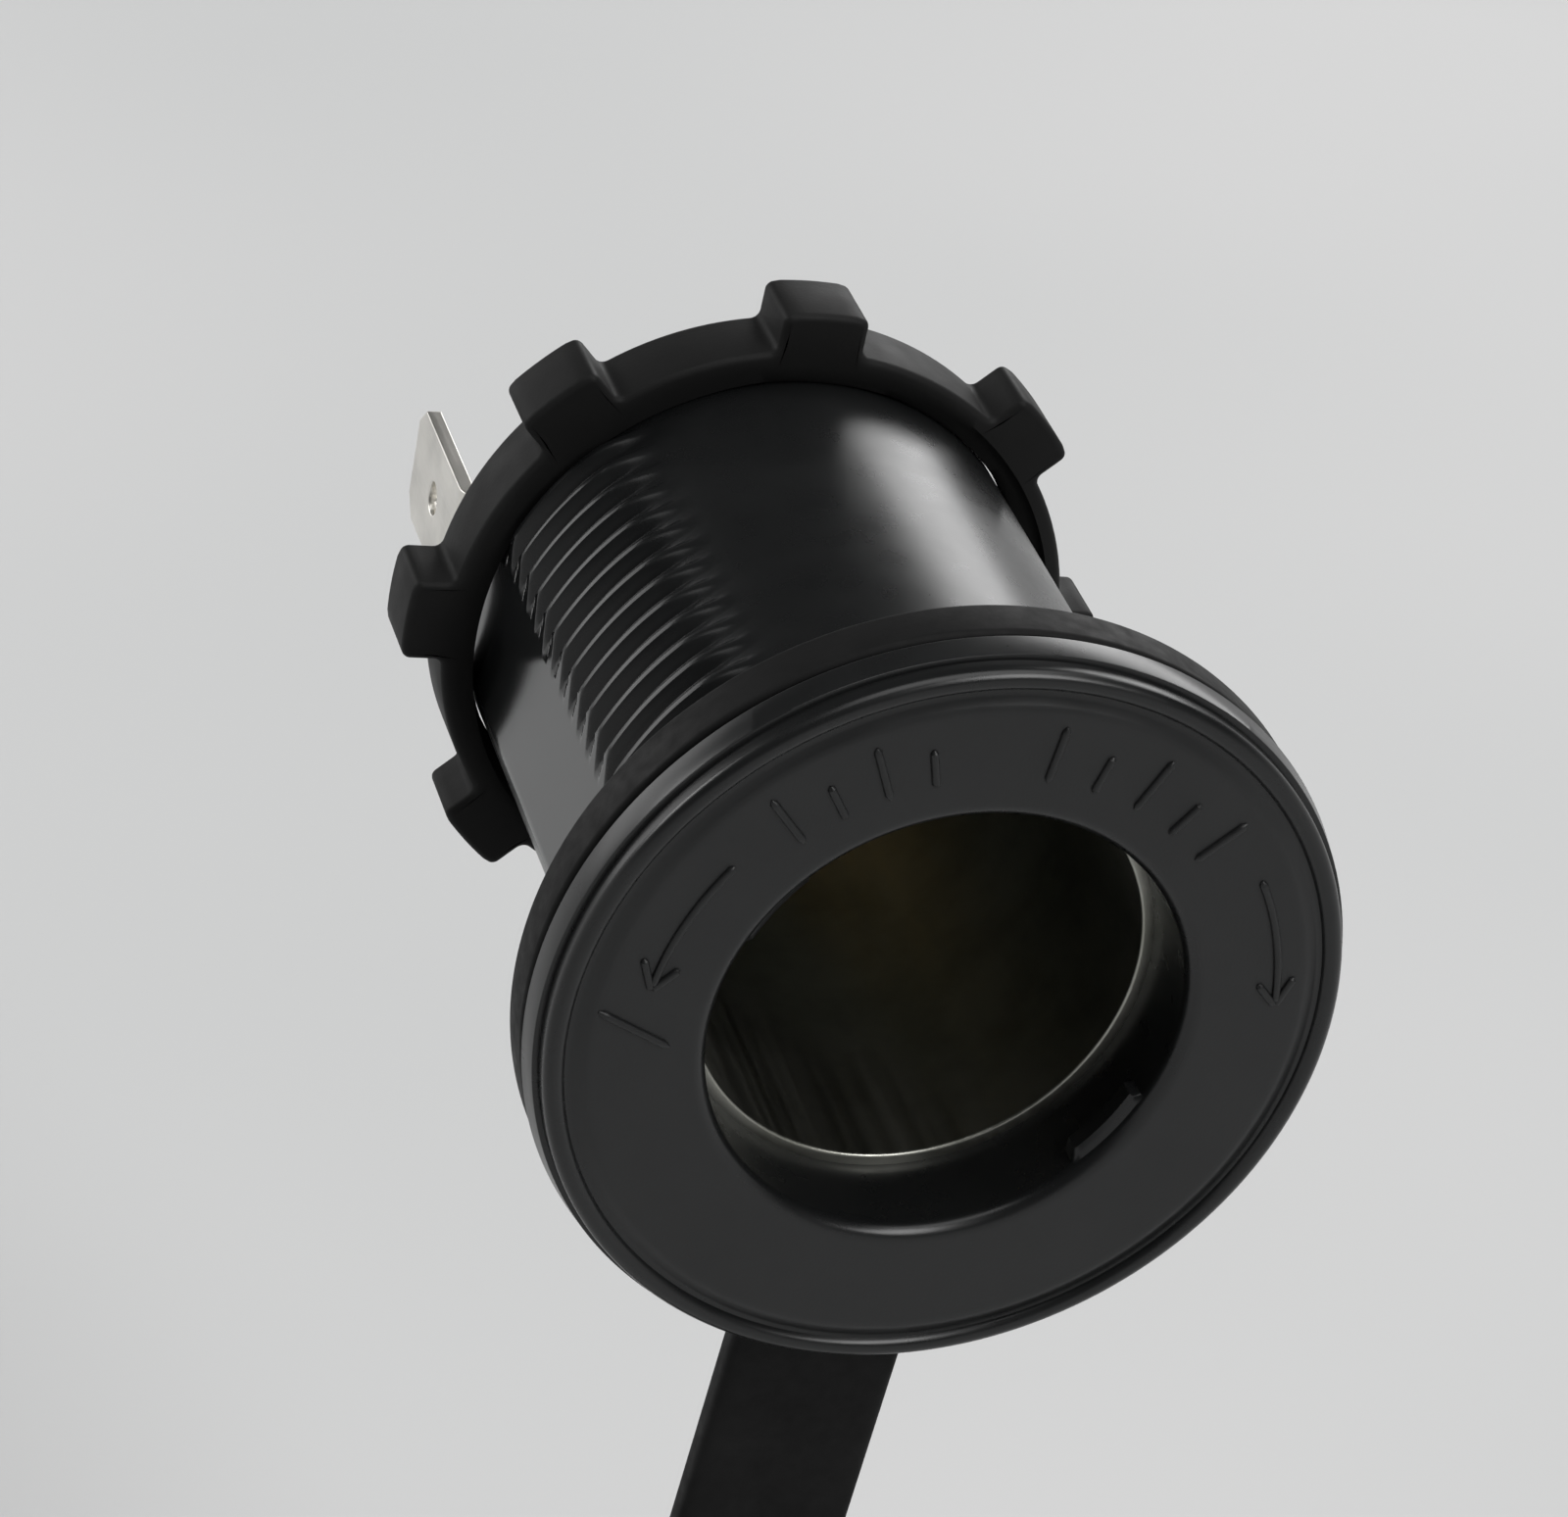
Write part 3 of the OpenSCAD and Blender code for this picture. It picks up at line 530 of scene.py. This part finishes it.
def softened(node, name, edge_mm, segments=2):
    """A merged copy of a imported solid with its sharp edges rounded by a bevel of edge_mm."""
    build = bmesh.new()
    build.from_mesh(frame["nodes"][node].data)
    bmesh.ops.remove_doubles(build, verts=build.verts, dist=1e-7)
    bmesh.ops.dissolve_limit(build, angle_limit=radians(0.6), verts=build.verts, edges=build.edges)
    mesh = bpy.data.meshes.new(name)
    build.to_mesh(mesh)
    build.free()
    piece = bpy.data.objects.new(name, mesh)
    bpy.context.scene.collection.objects.link(piece)
    mesh.polygons.foreach_set("use_smooth", np.ones(len(mesh.polygons), bool))
    edge = piece.modifiers.new("edge", "BEVEL")
    edge.width = edge_mm * 0.001
    edge.segments = segments
    edge.limit_method = "ANGLE"
    edge.angle_limit = radians(30)
    edge.use_clamp_overlap = True
    shade = piece.modifiers.new("shade", "WEIGHTED_NORMAL")
    shade.keep_sharp = True
    return piece


tin = plated_metal("tin_plate", colour=(0.80, 0.78, 0.73), rough=0.34, line_size=0.00025, lines="drawn")
zinc = plated_metal("zinc_plate", colour=(0.62, 0.63, 0.64), rough=0.3, line_size=0.00012)
cover_plastic = moulded_plastic("cover_plastic", dark=(0.024, 0.024, 0.026), light=(0.034, 0.034, 0.036),
                                smooth=0.42, rough=0.55)
bought_in = [
    ("ground_rivet", "brass_rivet", 0.12, brass, "brass"),
    ("rear_cover", "moulded_cover", 0.12, cover_plastic, "cover_plastic"),
    ("negative_terminal", "negative_blade", 0.1, tin, "tin_plate"),
    ("positive_terminal", "positive_blade", 0.1, tin, "tin_plate"),
    ("plain_washer", "flat_washer", 0.08, zinc, "zinc_steel"),
    ("lock_washer", "spring_washer", 0.06, zinc, "zinc_steel"),
    ("stud_nut", "hexagon_nut", 0.08, zinc, "zinc_steel")]
for node, name, edge_mm, finish, slot in bought_in:
    piece = softened(node, name, edge_mm)
    piece.data.materials.append(finish)
    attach(piece, "socket")
    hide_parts(node)


# Ring nut: a moulded plastic ring with eight lugs for the fingers, run up the barrel's thread
# against the back of the panel. It is duller than the housing.

def lug_outline(wall_r, top_r, width, count, turned, corner_r=0.45, fillet_r=0.5):
    """Closed outline of the nut, one lug after another: arc over the lug, rounded corner, straight
    side, fillet, and arc along the ring. Angles grow from +X towards +Z."""
    half = width / 2
    top_z = (top_r ** 2 - half ** 2) ** 0.5 - corner_r
    foot_x = half + fillet_r
    foot_z = ((wall_r + fillet_r) ** 2 - foot_x ** 2) ** 0.5
    foot_angle = np.degrees(np.arctan2(foot_x, foot_z))
    right = np.vstack([
        bend(half - corner_r, top_z, corner_r, 80, 5, 6),
        [[half, top_z - 0.3]],
        bend(foot_x, foot_z, fillet_r, 180, 270 - foot_angle, 6)])
    ring_angle = np.linspace(foot_angle + 1.5, 360 / count / 2, 7)
    ring = np.stack([wall_r * np.sin(np.radians(ring_angle)), wall_r * np.cos(np.radians(ring_angle))], 1)
    top_angle = np.degrees(np.arctan2(half - corner_r, top_z))
    over = np.radians(np.linspace(0, top_angle * 0.85, 5))
    top = np.stack([top_r * np.sin(over), top_r * np.cos(over)], 1)
    side = np.vstack([top, right, ring])
    lug = np.vstack([side[:0:-1] * [-1, 1], side[:-1]])
    turns = np.radians(turned + 360 / count * np.arange(count))[:, None]
    x = lug[:, 0] * np.cos(turns) - lug[:, 1] * np.sin(turns)
    z = lug[:, 0] * np.sin(turns) + lug[:, 1] * np.cos(turns)
    flipped = np.stack([x[:, ::-1], z[:, ::-1]], axis=-1)
    return flipped.reshape(-1, 2)


def nut_grid(outline, inner_r, front_y, back_y, edge):
    """Section at each point of the outline: rounded outer edges made by moving the outline inwards
    along its normal by edge * (1 - cos), flat faces, and a bore with ridges between the barrel's."""
    tangent = np.roll(outline, -1, 0) - np.roll(outline, 1, 0)
    tangent /= np.linalg.norm(tangent, axis=1, keepdims=True)
    normal = np.stack([tangent[:, 1], -tangent[:, 0]], axis=1)
    normal *= np.sign((normal * outline).sum(1).mean())
    turn = np.linspace(0, np.pi / 2, 5)
    inset = np.concatenate([edge * (1 - np.sin(turn)), edge * (1 - np.cos(turn))])
    depth = np.concatenate([front_y + edge * (1 - np.cos(turn)), back_y - edge * (1 - np.sin(turn))])
    outer = outline[None] - normal[None] * inset[:, None, None]
    outer_y = np.repeat(depth[:, None], len(outline), 1)
    angle = np.arctan2(outline[:, 1], outline[:, 0])[None]
    bore_y = np.arange(back_y - 0.15, front_y + 0.1, -pitch / rows_per_pitch)[:, None]
    line_y = first_ridge_y + pitch / 2 - pitch * (np.degrees(angle) - 180) / 360
    d = np.abs((bore_y - line_y + pitch / 2) % pitch - pitch / 2)
    r = inner_r - nut_thread_h * ease((nut_ridge_w / 2 - d) / nut_ridge_slope)
    bore = np.stack([r * np.cos(angle), r * np.sin(angle)], axis=-1)
    lead = (inner_r + bore_lead) * np.stack([np.cos(angle), np.sin(angle)], axis=-1)
    flat = np.concatenate([outer, lead, bore, lead])
    y = np.concatenate([outer_y, np.full_like(angle, back_y), bore_y + 0 * angle,
                        np.full_like(angle, front_y)])
    return np.stack([flat[..., 0], y, flat[..., 1]], axis=-1)


nut_low, nut_high = box_mm("ring_nut")
nut_bore_r, nut_r, lug_top_r = crest_r + 0.3, crest_r + 1.2, crest_r + 3.2
nut_clearance, nut_ridge_w, nut_ridge_slope, bore_lead, nut_edge = 0.08, 1.1, 0.43, 0.12, 0.35
nut_thread_h = nut_bore_r - barrel_r - nut_clearance
nut_outline = lug_outline(nut_r, lug_top_r, width=4.3, count=8, turned=-2)
nut = surface("castellated_nut", nut_grid(nut_outline, nut_bore_r, nut_low[1], nut_high[1], nut_edge))
nut_plastic = moulded_plastic("nut_plastic", dark=(0.011, 0.011, 0.011), light=(0.014, 0.014, 0.0138),
                              smooth=0.46, rough=0.56, grain=0.0002, gloss=0.09)
nut.data.materials.append(nut_plastic)
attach(nut, "nut")
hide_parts("ring_nut")


# Tether and dust cap: one soft moulding of black rubber. Its ring lies behind the bezel, and its
# strap is a band in its hanging shape, from the ring to the cap, whose hollow plug closes the mouth.

def soft_rubber():
    """Soft matt rubber: very dark, fine skin, a dusty bloom in patches."""
    finish, nodes, links, shader, place = finish_nodes("soft_rubber")
    bloom = noise(nodes, links, place, 0.005, 4)
    links.new(two_tone(nodes, links, blend_range(nodes, links, bloom, 0, 1), (0.004, 0.004, 0.004),
                       (0.0075, 0.0075, 0.0075)), shader.inputs["Base Color"])
    skin = noise(nodes, links, place, 0.0008, 3)
    links.new(blend_range(nodes, links, skin, 0.5, 0.64), shader.inputs["Roughness"])
    shader.inputs["Specular IOR Level"].default_value = 0.13
    relief(nodes, links, shader, [(noise(nodes, links, place, 0.00012, 2), 0.000004), (skin, 0.00001)])
    return finish


rubber = soft_rubber()
tether_low, tether_high = box_mm("tether_ring")
ring_bore_r, ring_r, ring_edge = crest_r + 0.05, crest_r + 4.2, 0.35
ring_t = tether_high[1] - tether_low[1]
ring_section = np.vstack([
    [[ring_bore_r, -0.15], [ring_bore_r, -ring_t + 0.15], [ring_bore_r + 0.15, -ring_t]],
    bend(ring_r - ring_edge, -ring_t + ring_edge, ring_edge, -90, 0, 7),
    bend(ring_r - ring_edge, -ring_edge, ring_edge, 0, 90, 7),
    [[ring_bore_r + 0.15, 0]]])
tether = lathe("tether_band", ring_section, 256, ring=True)
tether.data.materials.append(rubber)
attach(tether, "tether")
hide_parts("tether_ring")

cap_hinge = [j for j in frame["joints"] if j["name"] == "cap_swing"][0]
hinge_axis = np.array(cap_hinge["axis"])
hinge_pos = np.array(cap_hinge["pos_m"]) * 1000
lean = np.arctan2(hinge_axis[2], -hinge_axis[0])
down = np.array([-np.sin(lean), 0, -np.cos(lean)])
across = np.array([np.cos(lean), 0, -np.sin(lean)])
fold_z = hinge_pos @ down
strap_y, strap_t, strap_w, strap_fillet = -ring_t / 2, 1.6, 8.5, 1.5
cap_z, cap_r = 2 * fold_z, lip_r


def hanging(points):
    """Turns points modelled about a tether that hangs straight down into its true lean.
    The columns are (sideways, y, distance down)."""
    return points[..., :1] * across + points[..., 1:2] * [0, 1, 0] + points[..., 2:] * down


def signed_power(value, power):
    """The power of a value's size, with the value's own sign."""
    return np.sign(value) * np.abs(value) ** power


def flat_band(down_z, half):
    """A flat rubber band: at each distance down, a rounded rectangle of the given half width. Its
    sides follow u = cos^0.28 and its faces v = sin^0.55, with x = (half - t/2) u^0.3 + t/2 u."""
    turn = np.linspace(0, 2 * np.pi, 72, endpoint=False)
    u, v = signed_power(np.cos(turn), 0.28), signed_power(np.sin(turn), 0.55)
    x = (half[:, None] - strap_t / 2) * signed_power(u, 0.3) + strap_t / 2 * u
    y = strap_y + strap_t / 2 * v + 0 * x
    return np.stack([x, y, down_z[:, None] + 0 * x], axis=-1), v


def strap_grid(overlap=0.3):
    """The strap: a flat band from inside the ring to inside the cap, widened at both roots by a
    circular fillet."""
    root = (ring_r ** 2 - (strap_w / 2 + strap_fillet) ** 2) ** 0.5 - overlap
    end = cap_z - (cap_r ** 2 - (strap_w / 2 + strap_fillet) ** 2) ** 0.5 + overlap
    down_z = np.linspace(root, end, 90)
    from_root = np.minimum(down_z - root, end - down_z)
    into_fillet = np.maximum(strap_fillet - from_root, 0)
    flare = strap_fillet - np.sqrt(np.maximum(strap_fillet ** 2 - into_fillet ** 2, 0))
    return flat_band(down_z, strap_w / 2 + flare)[0], root, end


strap_points, root_z, strap_end_z = strap_grid()
strap = surface("tether_strap", hanging(strap_points), False,
                hanging(np.array([[0, strap_y, root_z], [0, strap_y, strap_end_z]])))
strap.data.materials.append(rubber)
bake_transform(strap)

cap_low, cap_high = box_mm("dust_cap")
cap_t, cap_edge, panel_dip, panel_inset = 2.2, 0.6, 0.12, 3.0
cap_top_y, cap_under_y = cap_high[1], cap_high[1] - cap_t
plug_r, plug_t, plug_end_y, plug_nose = lug_r - 0.25, 1.8, cap_low[1], 0.5
hollow_fillet, plug_fillet, plug_lip = 0.4, 0.35, 0.15
seal_r, seal_h, seal_foot = 16.2, 0.24, 0.45
hollow_r = plug_r - plug_t
cap_section = np.vstack([
    [[0, cap_under_y], [hollow_r - hollow_fillet, cap_under_y]],
    bend(hollow_r - hollow_fillet, cap_under_y - hollow_fillet, hollow_fillet, 90, 0, 5),
    [[hollow_r, plug_end_y + plug_lip]],
    bend(hollow_r + plug_lip, plug_end_y + plug_lip, plug_lip, 180, 270, 4),
    bend(plug_r - plug_nose, plug_end_y + plug_nose, plug_nose, -90, 0, 7),
    [[plug_r, cap_under_y - plug_fillet]],
    bend(plug_r + plug_fillet, cap_under_y - plug_fillet, plug_fillet, 180, 90, 5),
    [[seal_r - seal_foot, cap_under_y]],
    bend(seal_r, cap_under_y - 0.02, seal_h, 170, 370, 9),
    [[seal_r + seal_foot, cap_under_y], [cap_r - 0.25, cap_under_y], [cap_r - 0.05, cap_under_y + 0.1],
        [cap_r, cap_under_y + 0.3]],
    bend(cap_r - cap_edge, cap_top_y - cap_edge, cap_edge, 0, 90, 9),
    [[cap_r - panel_inset + 0.4, cap_top_y], [cap_r - panel_inset, cap_top_y - panel_dip],
        [0, cap_top_y - panel_dip]]])
cap = surface("dust_cap_moulding", hanging(revolve(cap_section[1:-1], 256) + [0, 0, cap_z]), False,
              hanging(np.array([[0, cap_under_y, cap_z], [0, cap_top_y - panel_dip, cap_z]])))
cap.data.materials.append(rubber)
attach(cap, "cap")
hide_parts("dust_cap")


def tab_grid(length=4.5, width=9, overlap=2):
    """The pull tab: a flat band whose free corners are quarter circles, with three grip ridges. Each
    ridge rises and falls by a smooth step along the tab."""
    tip = cap_z + cap_r + length
    start, half, corner = cap_z + cap_r - overlap, width / 2, width / 4
    rounding = np.sin(np.linspace(0.06, np.pi / 2 * 0.985, 22))
    down_z = np.concatenate([np.linspace(start, tip - corner, 60), tip - corner + corner * rounding])
    past = np.clip((down_z - (tip - corner)) / corner, 0, 1)
    points, v = flat_band(down_z, half - corner + corner * np.sqrt(1 - past ** 2))
    ridge_at = [cap_z + cap_r + length / 4 * i for i in (1, 2, 3)]
    ridge = sum(ease(1 - np.abs(down_z - at) / 0.45) for at in ridge_at)
    points[..., 1] += 0.3 * ridge[:, None] * (v > 0.3) * ease((0.78 - np.abs(points[..., 0]) / half) / 0.1)
    return points, start, tip


tab_points, tab_start, tab_end = tab_grid()
tab = surface("pull_tab", hanging(tab_points), False,
              hanging(np.array([[0, strap_y, tab_start], [0, strap_y, tab_end]])))
tab.data.materials.append(rubber)
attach(tab, "cap")


# Studio: a wide pale floor that fades into a pale horizon, a soft window behind on the right, an
# overhead lamp, three smaller ones in front and on the left, and a camera that looks down on the
# bezel from its left, as in the photograph.

def seen_directly(nodes, links):
    """1 for rays that come from the camera, a mirroring surface or glass, and 0 for all others."""
    ray = nodes.new("ShaderNodeLightPath")
    seen = ray.outputs["Is Camera Ray"]
    for kind in ("Is Glossy Ray", "Is Transmission Ray"):
        either = nodes.new("ShaderNodeMath")
        either.operation = "MAXIMUM"
        links.new(seen, either.inputs[0])
        links.new(ray.outputs[kind], either.inputs[1])
        seen = either.outputs["Value"]
    return seen


floor_gap = 22
floor_z = (cap_low[2] - floor_gap) * 0.001
floor_reach, fade_start, fade_end, horizon_tone = 2.5, 0.45, 0.95, 0.60


def pale_floor():
    """A matt pale floor, slightly clouded. Seen directly, it fades with distance from the middle into
    the tone of the horizon."""
    finish, nodes, links, shader, place = finish_nodes("pale_floor")
    shader.inputs["Roughness"].default_value = 0.9
    shader.inputs["Specular IOR Level"].default_value = 0.1
    cloud = blend_range(nodes, links, noise(nodes, links, place, 0.12, 1), 0, 1)
    links.new(two_tone(nodes, links, cloud, (0.57, 0.575, 0.575), (0.615, 0.615, 0.615)),
              shader.inputs["Base Color"])
    from_middle = nodes.new("ShaderNodeVectorMath")
    from_middle.operation = "LENGTH"
    links.new(place, from_middle.inputs[0])
    far = blend_range(nodes, links, from_middle.outputs["Value"], 0, 1, fade_start, fade_end)
    glow = nodes.new("ShaderNodeEmission")
    glow.inputs["Color"].default_value = (horizon_tone, horizon_tone, horizon_tone, 1)
    into_horizon = nodes.new("ShaderNodeMixShader")
    links.new(product(nodes, links, far, seen_directly(nodes, links)), into_horizon.inputs["Fac"])
    links.new(shader.outputs["BSDF"], into_horizon.inputs[1])
    links.new(glow.outputs["Emission"], into_horizon.inputs[2])
    links.new(into_horizon.outputs["Shader"], nodes["Material Output"].inputs["Surface"])
    return finish


corner_signs = ((-1, -1), (1, -1), (1, 1), (-1, 1))
floor_corners = [(x * floor_reach, y * floor_reach, floor_z) for x, y in corner_signs]
floor_mesh = bpy.data.meshes.new("floor")
floor_mesh.from_pydata(floor_corners, [], [(0, 1, 2, 3)])
floor = bpy.data.objects.new("floor", floor_mesh)
bpy.context.scene.collection.objects.link(floor)
floor.data.materials.append(pale_floor())


def lamp(name, place, target, wide, tall, power, roll=0):
    """A rectangular soft lamp at place, facing target, rolled about its own beam by roll degrees."""
    light = bpy.data.lights.new(name, "AREA")
    light.shape, light.size, light.size_y, light.energy = "RECTANGLE", wide, tall, power
    holder = bpy.data.objects.new(name, light)
    holder.location = place
    facing = (Vector(target) - Vector(place)).to_track_quat("-Z", "Y")
    holder.rotation_euler = (facing @ Quaternion((0, 0, 1), radians(roll))).to_euler()
    holder.visible_camera = False
    bpy.context.scene.collection.objects.link(holder)
    return holder


aim = (0, 0.012, 0)
lamp("window", (0.590, 0.682, 0.385), aim, 0.95, 0.31, 3.6, -37)
lamp("overhead", (0.1, 0.0, 1.3), aim, 1.0, 1.2, 8.2)
lamp("front", (0.33, -0.58, 0.70), aim, 0.35, 0.5, 4.6)
lamp("left", (-0.77, 0.39, 0.39), aim, 0.3, 0.3, 2.4)
lamp("side", (-0.58, 0.80, 0.14), aim, 0.55, 0.45, 1.2)
room_tone = 0.14
world = bpy.data.worlds.new("studio")
world.use_nodes = True
sky_nodes, sky_links = world.node_tree.nodes, world.node_tree.links
sky = sky_nodes["Background"]
height = sky_nodes.new("ShaderNodeSeparateXYZ")
sky_links.new(sky_nodes.new("ShaderNodeTexCoord").outputs["Generated"], height.inputs["Vector"])
backdrop = blend_range(sky_nodes, sky_links, height.outputs["Z"], horizon_tone, 0.03, 0.03, 0.34)
tone = sky_nodes.new("ShaderNodeMix")
tone.data_type = "RGBA"
tone.inputs["A"].default_value = (room_tone, room_tone, room_tone, 1)
sky_links.new(backdrop, tone.inputs["B"])
sky_links.new(seen_directly(sky_nodes, sky_links), tone.inputs["Factor"])
sky_links.new(tone.outputs["Result"], sky.inputs["Color"])
bpy.context.scene.world = world
bpy.context.scene.view_settings.view_transform = "Standard"

# The camera's directions and distance come from the perspective fit to the photograph. As the
# photograph's stretch is undone, a longer focal length and a small drop set the part in the frame.
camera_place = Vector((-0.07804, -0.18127, 0.12476))
camera_right = Vector((0.950723, -0.260143, 0.168654))
camera_up = Vector((0.0, 0.543996, 0.839084))
photo_width, focal_px, picture_drop_px = 1600, 5300, 70
forward = camera_up.cross(camera_right)
forward = (forward + camera_up * (picture_drop_px / focal_px)).normalized()
right = forward.cross(camera_up).normalized()
up = right.cross(forward)
lens = bpy.data.cameras.new("camera")
lens.sensor_width = 36
lens.lens = lens.sensor_width * focal_px / photo_width
lens.clip_start, lens.clip_end = 0.01, 20
camera = bpy.data.objects.new("camera", lens)
camera.matrix_world = Matrix.Translation(camera_place) @ Matrix((right, up, -forward)).transposed().to_4x4()
bpy.context.scene.collection.objects.link(camera)
bpy.context.scene.camera = camera
